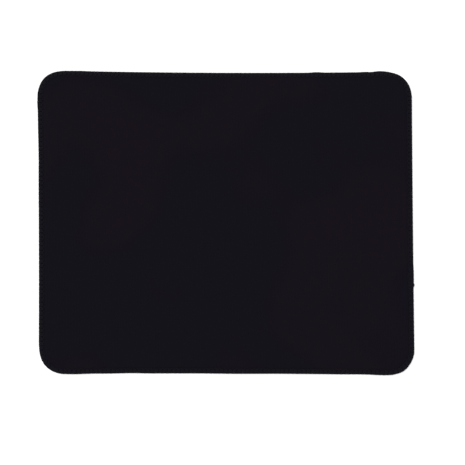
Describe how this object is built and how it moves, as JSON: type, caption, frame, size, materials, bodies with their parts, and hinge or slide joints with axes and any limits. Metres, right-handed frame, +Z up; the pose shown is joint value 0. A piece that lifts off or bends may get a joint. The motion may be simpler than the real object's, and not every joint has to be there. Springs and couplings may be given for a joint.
{
  "type": "mouse pad",
  "caption": "Thin rectangular desk pad with round corners: smooth knitted cloth top on a foamed rubber sheet, overlock-stitched edge all round.",
  "frame": {"origin": "middle of the underside, which lies on the desk", "axes": "+X along the long sides to the user's right, +Y away from the user to the rear edge, +Z up out of the cloth"},
  "size_m": [0.262, 0.2104, 0.003],
  "materials": {
    "foamed_rubber": "matte foamed natural rubber, embossed on its underside",
    "hot_melt_adhesive": "thin translucent hot-melt adhesive film",
    "knitted_polyester": "fine warp-knitted polyester, heat-pressed smooth and matte",
    "needle_sewing_thread": "twisted polyester sewing thread",
    "textured_looper_thread": "soft textured polyester overlock thread"
  },
  "bodies": {
    "root": {"rubber_base": "foamed_rubber", "bonding_film": "hot_melt_adhesive", "top_cloth": "knitted_polyester", "needle_thread": "needle_sewing_thread", "upper_looper_thread": "textured_looper_thread", "lower_looper_thread": "textured_looper_thread"}
  },
  "joints": []
}
